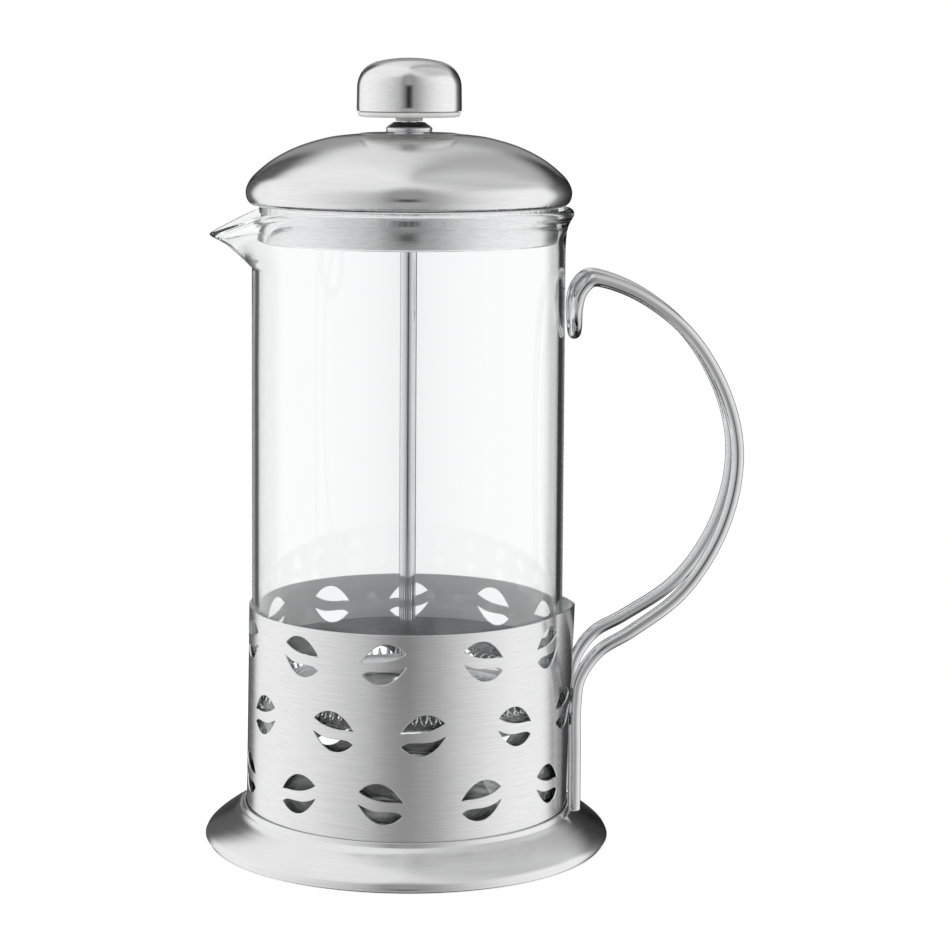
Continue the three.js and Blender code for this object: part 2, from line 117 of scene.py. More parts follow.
# Every second bean of a row is the mirror image of the one before.
BEAN_AZIMUTHS = [-75, -40, -8, 27.7, 61, 111.9, 143.5, 179.4, 211.4, 244.7]

# Each row's height, turn and whether its first bean is a mirrored one.
BEAN_ROWS = [(65.8, 0, True), (44.4, 13.7, True), (23.4, -0.8, False)]

WIRE_R = 2
HOOK_X = 51.9
HOOK_HALF_WIDTH = 12
HOOK_BOTTOM = 160.8
HOOK_ANGLES = (-165, -128, -90, -52, -15)

# One leg of the handle and its half of the grip, from the foot to the hook.
WIRE_LEG = [
    (52.6, 12, 11.5), (52.6, 12, 30), (52.6, 12.4, 45), (53.9, 13.2, 54), (59.7, 13.8, 62.4),
    (69.5, 13, 68.4), (85.2, 10.6, 79.9), (96.3, 8.8, 96), (102, 8, 114), (102.1, 8, 130),
    (96.6, 8.2, 146.8), (86.5, 9, 161.9), (73, 10.2, 172.6), (61.5, 11.4, 177.5),
    (56.6, 12, 178), (53.2, 12, 174.6),
]

THREAD_CORE_R = 1.75
THREAD_CREST_R = 2
THREAD_PITCH = 0.7
THREAD_TOP = 46.3
SHANK_BOTTOM = 46.7
FILTER_BORE = 2.3
SPRING_WIRE_R = 0.36
SPRING_TURNS = 98
DISH_START_R = 35.4
DISH_WIDTH = 5.9
DISH_RINGS = (34.6, 36, 37.4, 38.6, 39.6)

STEEL_TONE = (0.80, 0.80, 0.805)
BRIGHT_TONE = (0.82, 0.82, 0.825)
# Painted shade: the near-black colour of the collar's top, standing for the knob's shaded underside
# that it reflects.
PAINTED_SHADE_TONE = (0.10, 0.10, 0.105)
COLLAR_BAND_TOP = 224.7

# The heights at which the crimping of the lid's edges is full, and where it has gone.
DOME_CRIMP = (201.2, 202.6)
SKIRT_CRIMP = (199.0, 197.5)

FLOOR_R = 300
FLOOR_GAP = 0.02
FLOOR_THICKNESS = 5

# The studio round the horizon, as (azimuth, brightness).
STUDIO_RING = [
    (-180, 1.0), (-171, 0.9), (-165, 0.5), (-158, 0.10), (-148, 0.07), (-143, 0.40), (-138, 0.80),
    (-128, 0.86), (-108, 0.88), (-84, 0.83), (-60, 0.72), (-37, 0.57), (-22, 0.44), (-10, 0.20),
    (-3, 0.02), (3, 0.05), (10, 0.28), (24, 0.42), (37, 0.58), (60, 0.78), (86, 0.88), (115, 0.88),
    (120, 0.80), (125, 0.50), (131, 0.20), (142, 0.08), (152, 0.03), (162, 0.04), (168, 0.35),
    (174, 0.85), (180, 1.0),
]

# The brightness above the ring, and the height at which the ring gives way to it, both by the
# part of the way round from the back. A height here is the view direction's z.
STUDIO_CEILING = [
    (0.0, 0.68), (0.12, 0.84), (0.3, 0.80), (0.5, 0.76), (0.62, 0.62), (0.76, 0.52), (0.85, 0.60),
    (0.89, 0.44), (0.95, 0.40), (1.0, 0.68),
]
CEILING_START = [
    (0.0, 0.36), (0.03, 0.42), (0.08, 0.50), (0.13, 0.38), (0.25, 0.50), (0.4, 0.60), (0.48, 0.76),
    (0.52, 0.76), (0.6, 0.60), (0.75, 0.50), (0.85, 0.30), (0.96, 0.34), (1.0, 0.36),
]
CEILING_BLEND = 0.25

# Patches of the ring: the heights and the turns over which each comes in, and its strength.
# A turn is in radians to either side of straight ahead.
TABLE_GLOW = ((-0.15, -0.21), (1.2, 0.5), 0.36)
OVER_LENS = ((0.05, 0.3), (0.6, 0.1), 0.3)
BACK_WALL = ((0.10, 0.20), (2.80, 2.95), 0.28)
BACK_SCREEN = ((0.02, 0.12), (2.7, 2.95), 0.88)
BACK_GAP_TURNS = (2.72, 2.86)
BACK_GAP_SHADE = 0.93
UNDERSIDE_HEIGHTS = (-0.95, -0.7)


# ------------------------------------------------------------------ outlines

def mix(start, end, part):
    return start + (end - start) * part


def smoothstep(part):
    part = min(max(part, 0), 1)
    return part * part * (3 - 2 * part)


def arc(centre_r, centre_z, radius_r, radius_z, start, end, steps):
    """Points on an elliptical arc; angles are in degrees from the +radius direction."""
    points = []
    for i in range(steps + 1):
        angle = math.radians(mix(start, end, i / steps))
        points.append((centre_r + radius_r * math.cos(angle), centre_z + radius_z * math.sin(angle)))
    return points


def catmull_rom(knots, steps):
    """A centripetal Catmull-Rom curve through points of any dimension, steps per span."""
    knots = [Vector(knot) for knot in knots]
    knots = [2 * knots[0] - knots[1]] + knots + [2 * knots[-1] - knots[-2]]
    line = []
    for a, b, c, d in zip(knots, knots[1:], knots[2:], knots[3:]):
        t1 = (b - a).length ** 0.5
        t2 = t1 + (c - b).length ** 0.5
        t3 = t2 + (d - c).length ** 0.5
        for i in range(steps):
            t = mix(t1, t2, i / steps)
            ab = a * ((t1 - t) / t1) + b * (t / t1)
            bc = b * ((t2 - t) / (t2 - t1)) + c * ((t - t1) / (t2 - t1))
            cd = c * ((t3 - t) / (t3 - t2)) + d * ((t - t2) / (t3 - t2))
            abc = ab * ((t2 - t) / t2) + bc * (t / t2)
            bcd = bc * ((t3 - t) / (t3 - t1)) + cd * ((t - t1) / (t3 - t1))
            line.append(abc * ((t2 - t) / (t2 - t1)) + bcd * ((t - t1) / (t2 - t1)))
    line.append(knots[-2])
    return line


def curve(knots, steps):
    return [(point.x, point.y) for point in catmull_rom(knots, steps)]


def rounded_corner(start, corner, end, steps):
    """Points on a curve that turns round a corner, from start to end."""
    points = []
    for step in range(steps + 1):
        part = step / steps
        points.append(tuple(start.lerp(corner, part).lerp(corner.lerp(end, part), part)))
    return points


def filleted(corners, closed=True):
    """An outline of (r, z) or (r, z, fillet radius) corners, each fillet a short curve."""
    nearly_straight = 0.02
    degrees_per_step = 15
    outline = []
    count = len(corners)
    for i, corner in enumerate(corners):
        here = Vector(corner[:2])
        fillet = corner[2] if len(corner) > 2 else 0
        if fillet == 0 or (not closed and i in (0, count - 1)):
            outline.append(tuple(here))
            continue
        before = Vector(corners[i - 1][:2]) - here
        after = Vector(corners[(i + 1) % count][:2]) - here
        turn = math.pi - before.angle(after)
        if turn < nearly_straight:
            outline.append(tuple(here))
            continue
        reach = min(fillet * math.tan(turn / 2), before.length * 0.49, after.length * 0.49)
        start = here + before.normalized() * reach
        end = here + after.normalized() * reach
        steps = max(2, math.ceil(math.degrees(turn) / degrees_per_step))
        outline += rounded_corner(start, here, end, steps)
    return outline


def plain_ring(span, bore, fillets):
    """A ring's square section, with a fillet for each corner: bore, rim, rim, bore."""
    section = ((bore, span.bottom), (span.radius, span.bottom),
               (span.radius, span.top), (bore, span.top))
    return filleted([(*corner, fillet) for corner, fillet in zip(section, fillets)])


def beside(line, distance):
    """The line moved sideways, to the right-hand side of its direction of travel."""
    moved = []
    for i, (r, z) in enumerate(line):
        before = line[max(i - 1, 0)]
        after = line[min(i + 1, len(line) - 1)]
        along_r = after[0] - before[0]
        along_z = after[1] - before[1]
        length = math.hypot(along_r, along_z)
        moved.append((r + distance * along_z / length, z - distance * along_r / length))
    return moved


# ------------------------------------------------------------------ meshes

def angle_between(one, other):
    turn = abs(one - other) % 360
    return min(turn, 360 - turn)


def at(radius, azimuth, height):
    """A point from its radius, azimuth in degrees and height, in metres."""
    angle = math.radians(azimuth)
    return (radius * math.sin(angle) * MM, -radius * math.cos(angle) * MM, height * MM)


def make_piece(name, points, faces, material, body, node, sharp=38):
    """A mesh piece that rides on a body and stands for a CAD node.

    It is shaded smooth, apart from edges that turn by more than sharp degrees.
    """
    mesh = bpy.data.meshes.new(name)
    mesh.from_pydata(points, [], faces)
    mesh.validate()
    mesh.shade_smooth()
    mesh.set_sharp_from_angle(angle=math.radians(sharp))
    piece = bpy.data.objects.new(name, mesh)
    bpy.context.scene.collection.objects.link(piece)
    mesh.materials.append(material)
    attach(piece, body)
    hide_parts(node)
    return piece


def turned(outline, segments, reshape=None):
    """Points and faces of an outline spun round the axis; reshape may move each point."""
    ends_on_axis = abs(outline[0][0]) < ON_AXIS and abs(outline[-1][0]) < ON_AXIS
    points = []
    rows = []
    for r, z in outline:
        if r < ON_AXIS:
            rows.append([len(points)])
            points.append((0, 0, z * MM))
            continue
        row = []
        for i in range(segments):
            azimuth = 360 * i / segments
            radius, height = reshape(r, azimuth, z) if reshape else (r, z)
            row.append(len(points))
            points.append(at(radius, azimuth, height))
        rows.append(row)
    faces = []
    pairs = list(zip(rows, rows[1:]))
    if not ends_on_axis:
        pairs.append((rows[-1], rows[0]))
    for low, high in pairs:
        for i in range(segments):
            k = (i + 1) % segments
            if len(low) == 1 and len(high) > 1:
                faces.append((low[0], high[k], high[i]))
            elif len(high) == 1 and len(low) > 1:
                faces.append((low[i], low[k], high[0]))
            elif len(low) > 1:
                faces.append((low[i], low[k], high[k], high[i]))
    area = sum(a[0] * b[1] - b[0] * a[1] for a, b in zip(outline, outline[1:] + outline[:1]))
    if area < 0:
        faces = [tuple(reversed(face)) for face in faces]
    return points, faces


def turned_piece(name, outline, material, body, node, segments, reshape=None, sharp=38):
    points, faces = turned(outline, segments, reshape)
    return make_piece(name, points, faces, material, body, node, sharp)


def wire_ring(here, along, normal, radius, sides):
    """Points round a wire where its line runs along a direction square to normal."""
    across = along.cross(normal)
    ring = []
    for side in range(sides):
        angle = 2 * math.pi * side / sides
        offset = normal * math.cos(angle) + across * math.sin(angle)
        ring.append(tuple((here + offset * radius) * MM))
    return ring


def ring_faces(count, sides, closed):
    """Faces between rings of points that follow each other, and back to the first if closed."""
    faces = []
    for i in range(count if closed else count - 1):
        one = i * sides
        other = (i + 1) % count * sides
        for side in range(sides):
            after = (side + 1) % sides
            faces.append((one + side, one + after, other + after, other + side))
    return faces


def tube(line, radius, sides):
    """Points and faces of a round wire along a line in millimetres; radius(i) is its radius."""
    count = len(line)
    normal = Vector((0, 1, 0))
    points = []
    for i, here in enumerate(line):
        along = (line[min(i + 1, count - 1)] - line[max(i - 1, 0)]).normalized()
        normal = (normal - along * normal.dot(along)).normalized()
        points += wire_ring(here, along, normal, radius(i), sides)
    faces = ring_faces(count, sides, closed=False)
    faces.append(tuple(reversed(range(sides))))
    faces.append(tuple(range((count - 1) * sides, count * sides)))
    return points, faces


def closed_tube(line, radius, sides, up):
    """A wire of constant radius along a closed line; up(i) is a direction beside the line."""
    count = len(line)
    points = []
    for i, here in enumerate(line):
        along = (line[(i + 1) % count] - line[i - 1]).normalized()
        normal = (up(i) - along * up(i).dot(along)).normalized()
        points += wire_ring(here, along, normal, radius, sides)
    return points, ring_faces(count, sides, closed=True)


def inside_loop(point, loop):
    """True if a flat point is inside a closed loop of flat points."""
    x, y = point
    crossings = 0
    for (ax, ay), (bx, by) in zip(loop, loop[1:] + loop[:1]):
        if (ay > y) != (by > y) and x < ax + (y - ay) * (bx - ax) / (by - ay):
            crossings += 1
    return crossings % 2 == 1


class Hole:
    """A closed loop of flat points, with the box round it to keep the tests quick."""

    def __init__(self, loop):
        self.loop = loop
        xs = [x for x, _ in loop]
        ys = [y for _, y in loop]
        self.low_x, self.high_x = min(xs), max(xs)
        self.low_y, self.high_y = min(ys), max(ys)

    def holds(self, x, y, margin=0):
        """True if a point is inside the loop, or nearer than margin to one of its points."""
        if not self.low_x - margin < x < self.high_x + margin:
            return False
        if not self.low_y - margin < y < self.high_y + margin:
            return False
        near = any(math.hypot(x - a, y - b) < margin for a, b in self.loop)
        return near or inside_loop((x, y), self.loop)


def grown(loop, distance):
    """A closed loop of flat points, anticlockwise, moved outwards by a distance."""
    least_cosine = 0.45
    moved = []
    for before, here, after in zip(loop[-1:] + loop[:-1], loop, loop[1:] + loop[:1]):
        one = (Vector(here) - Vector(before)).normalized()
        two = (Vector(after) - Vector(here)).normalized()
        normal = Vector((one.y + two.y, -one.x - two.x)).normalized()
        stretch = 1 / max(least_cosine, normal.dot(Vector((one.y, -one.x))))
        moved.append(tuple(Vector(here) + normal * distance * stretch))
    return moved


def merged(points, faces):
    """The same points and faces with points in one place joined."""
    distance = 2e-7
    seen = {}
    index = []
    kept = []
    for point in points:
        key = tuple(round(c / distance) for c in point)
        if key not in seen:
            seen[key] = len(kept)
            kept.append(point)
        index.append(seen[key])
    joined = []
    for face in faces:
        corners = []
        for i in face:
            if not corners or corners[-1] != index[i]:
                corners.append(index[i])
        if corners[0] == corners[-1]:
            corners.pop()
        if len(corners) > 2:
            joined.append(tuple(corners))
    return kept, joined


def circle(centre_x, centre_y, radius, sides):
    points = []
    for i in range(sides):
        angle = 2 * math.pi * i / sides
        points.append((centre_x + radius * math.cos(angle), centre_y + radius * math.sin(angle)))
    return points


def softened(loop, reach):
    """The loop with its sharp corners cut back into small rounds."""
    sharp_turn = math.radians(30)
    result = []
    for before, here, after in zip(loop[-1:] + loop[:-1], loop, loop[1:] + loop[:1]):
        one, point, two = Vector(before), Vector(here), Vector(after)
        turn = (point - one).angle(two - point)
        if turn < sharp_turn:
            result.append(here)
            continue
        start = point + (one - point).normalized() * reach
        end = point + (two - point).normalized() * reach
        result += rounded_corner(start, point, end, 4)
    return result


def flat_faces(border, holes, inner_points, edge):
    """The flat sheet inside border, cut by the grown holes, as points and triangles."""
    flat_points = list(border)
    count = len(border)
    flat_edges = [(i, (i + 1) % count) for i in range(count)]
    openings = []
    for loop in holes:
        opening = grown(loop, edge)
        first = len(flat_points)
        size = len(opening)
        flat_points += opening
        flat_edges += [(first + i, first + (i + 1) % size) for i in range(size)]
        openings.append(Hole(opening))
    flat_points += inner_points
    vectors = [Vector(point) for point in flat_points]
    inside_the_border = 1
    result = delaunay_2d_cdt(vectors, flat_edges, [], inside_the_border, 1e-6)
    points = [tuple(point) for point in result[0]]
    kept = []
    for face in result[2]:
        x = sum(points[i][0] for i in face) / len(face)
        y = sum(points[i][1] for i in face) / len(face)
        if not any(opening.holds(x, y) for opening in openings):
            kept.append(face)
    return points, kept


def both_sides(triangles, count):
    """The faces of a sheet and of its back, whose points follow after the first count ones."""
    front = [tuple(face) for face in triangles]
    back = [tuple(i + count for i in reversed(face)) for face in triangles]
    return front + back


def rounded_lips(edge, thickness):
    """The section of a sheet's softened cut edge, as (distance from the cut, depth) steps."""
    corner = [(edge, 0), (edge * 0.35, edge * 0.3), (0, edge)]
    return corner + [(offset, thickness - depth) for offset, depth in reversed(corner)]


def add_lip(points, faces, rings, flip):
    """Adds quads between closed rings of points to the lists."""
    indexed = []
    for ring in rings:
        indexed.append(list(range(len(points), len(points) + len(ring))))
        points += ring
    for one, other in zip(indexed, indexed[1:]):
        size = len(one)
        for i in range(size):
            k = (i + 1) % size
            quad = (one[i], other[i], other[k], one[k])
            faces.append(tuple(reversed(quad)) if flip else quad)


# ------------------------------------------------------------------ materials

def new_material(name):
    material = bpy.data.materials.new(name)
    material.use_nodes = True
    tree = material.node_tree
    return material, tree, tree.nodes["Principled BSDF"]


def link(source, target):
    source.id_data.links.new(source, target)


def node_after(kind, source, target):
    """A new node of which one input is fed by a socket, in that socket's tree."""
    node = source.id_data.nodes.new(kind)
    link(source, node.inputs[target])
    return node


def set_inputs(node, values):
    for name, value in values.items():
        node.inputs[name].default_value = value


def set_or_link(slot, value):
    """Gives an input a plain number or colour, or links it to a socket."""
    if isinstance(value, (int, float)):
        slot.default_value = value
    elif isinstance(value, tuple):
        slot.default_value = (*value, 1)
    else:
        link(value, slot)


def math_node(operation, *values):
    """A Math node whose inputs are sockets or plain numbers, at least one of them a socket."""
    socket = next(value for value in values if not isinstance(value, (int, float)))
    node = socket.id_data.nodes.new("ShaderNodeMath")
    node.operation = operation
    for slot, value in zip(node.inputs, values):
        set_or_link(slot, value)
    return node.outputs[0]


def times(one, two):
    return math_node("MULTIPLY", one, two)


def plus(one, two):
    return math_node("ADD", one, two)


def minus(one, two):
    return math_node("SUBTRACT", one, two)


def larger(one, two):
    return math_node("MAXIMUM", one, two)


def split_up(vector):
    """The x, y and z of a vector."""
    return node_after("ShaderNodeSeparateXYZ", vector, "Vector").outputs


def distance_from_axis(x, y):
    return math_node("SQRT", plus(times(x, x), times(y, y)))


def smooth_between(value, low, high):
    """0 below low, 1 above high and smooth between them; low may be above high."""
    node = node_after("ShaderNodeMapRange", value, "Value")
    node.interpolation_type = "SMOOTHSTEP"
    set_inputs(node, {"From Min": low, "From Max": high})
    return node.outputs[0]


def object_position(tree):
    return tree.nodes.new("ShaderNodeTexCoord").outputs["Object"]


def grain_position(tree, along, across):
    """Object coordinates wound round the axis, so that noise on them makes turned grain.

    along is how many grains go round one radian, across how many go over one metre.
    """
    x, y, z = split_up(object_position(tree))
    radius = larger(distance_from_axis(x, y), 1e-4)
    join = tree.nodes.new("ShaderNodeCombineXYZ")
    link(times(math_node("DIVIDE", x, radius), along), join.inputs[0])
    link(times(math_node("DIVIDE", y, radius), along), join.inputs[1])
    link(times(minus(z, radius), across), join.inputs[2])
    return join.outputs[0]


def noise(position, scale, detail, roughness):
    node = node_after("ShaderNodeTexNoise", position, "Vector")
    set_inputs(node, {"Scale": scale, "Detail": detail, "Roughness": roughness})
    return node.outputs["Fac"]


def ramp(value, stops):
    """A colour ramp with (position, grey or colour) stops."""
    node = node_after("ShaderNodeValToRGB", value, "Fac")
    elements = node.color_ramp.elements
    while len(elements) < len(stops):
        elements.new(0.5)
    for element, (position, colour) in zip(elements, stops):
        element.position = position
        if isinstance(colour, (int, float)):
            colour = (colour, colour, colour)
        element.color = (*colour, 1)
    return node.outputs["Color"]


def blended(part, one, two):
    """A colour that goes from one to two, sockets or plain colours, as part goes from 0 to 1."""
    node = node_after("ShaderNodeMix", part, "Factor")
    node.data_type = "RGBA"
    set_or_link(node.inputs[6], one)
    set_or_link(node.inputs[7], two)
    return node.outputs[2]


def bump(height, strength, distance):
    node = node_after("ShaderNodeBump", height, "Height")
    set_inputs(node, {"Strength": strength, "Distance": distance})
    return node.outputs["Normal"]


def link_finish(shader, colour, roughness, normal):
    link(colour, shader.inputs["Base Color"])
    link(roughness, shader.inputs["Roughness"])
    link(normal, shader.inputs["Normal"])


def turned_steel(name, tone, rough, grain, along, across, stretch, crimp=None, inside=None):
    """Steel brushed round the axis: fine streaks in colour, roughness and height.

    grain is how strong the streaks are; along and across are as in grain_position. stretch draws
    the reflections out across the brushing. crimp is a pair of heights: upright wrinkles are full
    at the first and gone at the second. Nearer to the axis than inside, the steel is duller.
    """
    material, tree, shader = new_material(name)
    set_inputs(shader, {"Metallic": 1, "Anisotropic": stretch, "Anisotropic Rotation": 0.25})
    streaks = noise(grain_position(tree, along, across), 1.0, 2.0, 0.6)
    smudges = noise(object_position(tree), 38.0, 3.0, 0.55)
    shade = plus(times(streaks, 0.8), times(smudges, 0.2))
    spread = 0.16 * grain
    colour = ramp(shade, [
        (0.28, tuple(c * (1 - spread) for c in tone)),
        (0.72, tuple(min(1, c * (1 + spread * 0.7)) for c in tone)),
    ])
    level = ramp(shade, [(0.25, rough * 0.8), (0.75, rough * 1.25)])
    x, y, z = split_up(object_position(tree))
    if inside:
        outer = math_node("GREATER_THAN", distance_from_axis(x, y), inside * MM)
        link(plus(times(outer, 0.75), 0.25), shader.inputs["Metallic"])
        level = plus(level, times(minus(1.0, outer), 0.3))
    height = times(streaks, 0.3 * grain)
    if crimp:
        full, gone = crimp
        fade = smooth_between(z, gone * MM, full * MM)
        wrinkles = noise(grain_position(tree, 46, 120), 1.0, 2.0, 0.6)
        height = plus(height, times(wrinkles, times(fade, 6.0)))
    link_finish(shader, colour, level, bump(height, 1.0, 0.00004))
    tangent = tree.nodes.new("ShaderNodeTangent")
    tangent.direction_type = "RADIAL"
    tangent.axis = "Z"
    link(tangent.outputs[0], shader.inputs["Tangent"])
    return material


def polished_steel(name, tone, rough, relief, painted_shade_above=None):
    """Polished steel with faint hairlines and handling marks; relief is the marks' bump.

    Above the height given as its last argument it is painted near black: painted shade for the shaded
    underside of the knob, which it reflects.
    """
    material, tree, shader = new_material(name)
    shader.inputs["Metallic"].default_value = 1.0
    place = object_position(tree)
    stretch = node_after("ShaderNodeMapping", place, "Vector")
    set_inputs(stretch, {"Scale": (900, 900, 60)})
    hairlines = noise(stretch.outputs[0], 1.0, 3.0, 0.6)
    marks = noise(place, 90.0, 3.0, 0.5)
    both = plus(times(hairlines, 0.5), times(marks, 0.5))
    colour = ramp(both, [(0.3, tuple(c * 0.93 for c in tone)), (0.7, tone)])
    # Painted shade: above the height the colour goes near black.
    if painted_shade_above:
        height = split_up(place)[2]
        part = smooth_between(height, painted_shade_above * MM, (painted_shade_above + 0.2) * MM)
        colour = blended(part, colour, PAINTED_SHADE_TONE)
    level = ramp(both, [(0.3, rough * 0.7), (0.75, rough * 1.5)])
    link_finish(shader, colour, level, bump(marks, relief, 0.00002))
    return material


def clear_glass(name):
    """Borosilicate glass: clear, faintly wavy, and a little darker and greener where it is seen edge
    on, partly its own green tint and partly painted shade for its dark edge lines.
    """
    material, tree, shader = new_material(name)
    set_inputs(shader, {"Transmission Weight": 1, "IOR": 1.46, "Roughness": 0})
    facing = tree.nodes.new("ShaderNodeLayerWeight")
    facing.inputs["Blend"].default_value = 0.5
    # Partly painted shade: the edge-on darkening stands in for the dark edge lines that refraction
    # gives, besides the glass's own green tint.
    edge_tint_and_shade = ramp(facing.outputs["Facing"], [
        (0.0, (0.985, 0.99, 0.992)), (0.8, (0.965, 0.98, 0.975)), (1.0, (0.86, 0.90, 0.885)),
    ])
    link(edge_tint_and_shade, shader.inputs["Base Color"])
    waves = noise(object_position(tree), 22.0, 1.0, 0.4)
    link(bump(waves, 0.05, 0.0004), shader.inputs["Normal"])
    return material


def white_plastic(name):
    """Moulded plastic with a fine uneven gloss."""
    material, tree, shader = new_material(name)
    mould = noise(object_position(tree), 420.0, 2.0, 0.5)
    colour = ramp(mould, [(0.3, (0.80, 0.80, 0.78)), (0.7, (0.87, 0.87, 0.85))])
    level = ramp(mould, [(0.3, 0.32), (0.7, 0.42)])
    link_finish(shader, colour, level, bump(mould, 0.06, 0.00002))
    set_inputs(shader, {
        "Subsurface Weight": 0.15, "Subsurface Radius": (0.002, 0.002, 0.0018), "Subsurface Scale": 1,
    })
    return material


def soft_seal(name):
    """Dull pale rubber, finely speckled."""
    material, tree, shader = new_material(name)
    speckle = noise(object_position(tree), 900.0, 2.0, 0.5)
    colour = ramp(speckle, [(0.3, (0.62, 0.62, 0.60)), (0.7, (0.70, 0.70, 0.68))])
    level = ramp(speckle, [(0.3, 0.55), (0.7, 0.7)])
    link_finish(shader, colour, level, bump(speckle, 0.1, 0.00003))
    return material


def woven_steel(name):
    """Fine plain-woven wire, as crossing waves in height and colour; the colour is near black between
    the wires, as painted shade.
    """
    material, tree, shader = new_material(name)
    shader.inputs["Metallic"].default_value = 1.0
    place = object_position(tree)
    heights = []
    for direction in ("X", "Y"):
        wave = node_after("ShaderNodeTexWave", place, "Vector")
        wave.wave_type = "BANDS"
        wave.bands_direction = direction
        set_inputs(wave, {"Scale": 520, "Distortion": 0})
        heights.append(wave.outputs["Fac"])
    weave = larger(*heights)
    # Painted shade: the low parts of the weave, between the wires, are painted near black.
    colour = ramp(weave, [(0.35, 0.06), (0.8, 0.62)])
    level = ramp(weave, [(0.3, 0.55), (0.9, 0.25)])
    link_finish(shader, colour, level, bump(weave, 0.6, 0.0002))
    return material


SLEEVE_STEEL = turned_steel(
    "sleeve_brushed_steel", STEEL_TONE, 0.23, grain=0.6, along=5, across=3600, stretch=0.5,
    inside=SLEEVE_TOP_R - 0.3,
)
FOOT_STEEL = turned_steel(
    "foot_brushed_steel", STEEL_TONE, 0.18, grain=0.4, along=5, across=3600, stretch=0.4,
)
DOME_STEEL = turned_steel(
    "lid_brushed_steel", STEEL_TONE, 0.17, grain=0.45, along=5, across=3600, stretch=0.35,
    crimp=DOME_CRIMP,
)
SKIRT_STEEL = turned_steel(
    "skirt_brushed_steel", BRIGHT_TONE, 0.15, grain=0.6, along=14, across=2600, stretch=0.6,
    crimp=SKIRT_CRIMP,
)
KNOB_STEEL = turned_steel(
    "knob_brushed_steel", BRIGHT_TONE, 0.10, grain=0.5, along=5, across=2900, stretch=0.5,
)
WIRE_STEEL = polished_steel("wire_polished_steel", (0.74, 0.74, 0.75), 0.08, relief=0.02)
ROD_STEEL = polished_steel("rod_polished_steel", (0.80, 0.80, 0.81), 0.05, relief=0.03)
# The collar's top above its band is painted near black as painted shade.
CHROME = polished_steel(
    "collar_chrome", (0.86, 0.86, 0.88), 0.03, relief=0.02, painted_shade_above=COLLAR_BAND_TOP,
)
GLASS_MATERIAL = clear_glass("beaker_glass")
PLASTIC = white_plastic("knob_white_plastic")
SEAL = soft_seal("seat_soft_seal")
WEAVE = woven_steel("screen_woven_steel")


# ------------------------------------------------------------------ foot and sleeve

def foot_dish():
    """The spun foot: seat, low lip, flared skirt, rolled edge and hem."""
    flare = curve([
        (52.3, FOOT.top - 1.8), (53.6, FOOT.top - 3), (55.8, FOOT.top - 4.4), (58.4, FOOT.top - 6.1),
        (60.9, FOOT.top - 8), (62.4, FOOT.top - 9.5), (FOOT.radius - 0.02, FOOT.top - 10.7),
    ], 6)
    top_side = filleted([
        (0, SEAT_TOP), (LIP_R, SEAT_TOP, 0.3), (LIP_R, FOOT.top, 0.2),
        (LIP_R + 0.6, FOOT.top - 0.05, 0.3), flare[0],
    ], closed=False) + flare[1:]
    under = beside(flare, -FOOT_SHEET)
    hem = filleted([
        (FOOT.radius - 0.02, 1.3), (FOOT.radius - 0.1, 0, 1.1), (PLATE.radius + 0.3, 0, 0.25),
        (PLATE.radius + 0.3, FOOT_SHEET, 0.25), (FOOT.radius - 1.2, FOOT_SHEET, 0.3), under[-1],
    ], closed=False)
    seat_under = SEAT_TOP - FOOT_SHEET
    inside = list(reversed(under[:-1])) + filleted([
        (LIP_R + 0.8, seat_under, 0.3), (LIP_R + 0.2, seat_under, 0.2), (0, seat_under),
    ], closed=False)
    outline = top_side + hem[1:] + inside
    turned_piece("foot_dish", outline, FOOT_STEEL, "frame", "base_dish", 240)


def foot_plate():
    """The flat plate pressed into the foot's hem."""
    rim = PLATE.radius - 0.05
    outline = filleted([
        (0, 0), (rim, 0, 0.25), (rim, 0.9, 0.2), (PLATE.radius - 1.2, PLATE.top, 0.3), (0, PLATE.top),
    ], closed=False)
    turned_piece("foot_plate", outline, FOOT_STEEL, "frame", "bottom_plate", 160)


def glass_seat():
    """The soft ring that the glass stands on."""
    ring = plain_ring(SEAT, 36, (0.4, 0.4, 0.7, 0.7))
    turned_piece("glass_seat", ring, SEAL, "frame", "seat_ring", 128)


def pleat_rise(angle):
    """How far the pleat stands out of the sleeve's top edge, by angle from its ridge."""
    if angle >= PLEAT_END_ANGLE:
        return 0
    if angle >= PLEAT_CORNER_ANGLE:
        return PLEAT_CORNER * (PLEAT_END_ANGLE - angle) / (PLEAT_END_ANGLE - PLEAT_CORNER_ANGLE)
    return mix(PLEAT_RIDGE, PLEAT_CORNER, angle / PLEAT_CORNER_ANGLE)


def sleeve_point(arc_length, height, depth):
    """Bends the flat sleeve sheet round the glass, with its pleat at the handle."""
    azimuth = 90 + math.degrees(arc_length / SLEEVE.radius)
    rise = (height - SLEEVE.bottom) / (SLEEVE.top - SLEEVE.bottom)
    pleat = pleat_rise(angle_between(azimuth, 90))
    return at(mix(SLEEVE.radius, SLEEVE_TOP_R + pleat, rise) - depth, azimuth, height)


def bean_halves(mirrored):
    """The two halves of a coffee bean, as anticlockwise loops round its middle."""
    upper = curve(BEAN_ARCH, 4)[:-1] + curve([BEAN_ARCH[-1]] + BEAN_BAR_TOP + [BEAN_ARCH[0]], 4)[:-1]
    arch = [(-x, -y) for x, y in BEAN_ARCH]
    lower = curve(arch, 4)[:-1] + curve([arch[-1]] + BEAN_BAR_BOTTOM + [arch[0]], 4)[:-1]
    halves = []
    for loop in (upper, lower):
        if mirrored:
            loop = [(-x, y) for x, y in reversed(loop)]
        halves.append(softened(loop, 0.3))
    return halves


